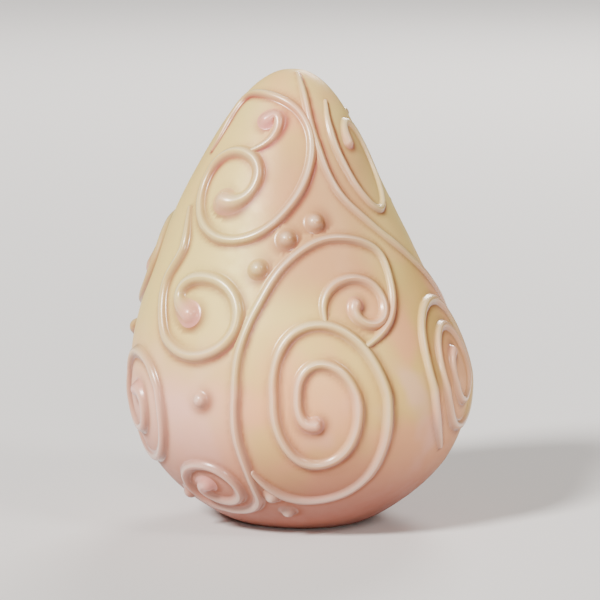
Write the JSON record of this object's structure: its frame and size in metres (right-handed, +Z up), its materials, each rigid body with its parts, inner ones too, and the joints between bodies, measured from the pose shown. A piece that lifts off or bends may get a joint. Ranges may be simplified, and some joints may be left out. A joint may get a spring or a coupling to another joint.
{
  "type": "chocolate coated strawberry",
  "caption": "Large strawberry dipped whole in pearly white chocolate, piped all over with raised scrolls and beads, standing tip up on its flat hulled end.",
  "frame": {"origin": "middle of the flat spot of the hulled end that the berry rests on", "axes": "+Z up, from the hulled end to the tip; -Y faces the viewer, the side with the largest low scroll; +X to the viewer's right"},
  "size_m": [0.051, 0.0489, 0.0665],
  "materials": {
    "coat": "pearly white chocolate, satin gloss, cream with pink and lilac shades"
  },
  "bodies": {
    "root": {"coated_strawberry": "coat"}
  },
  "joints": []
}
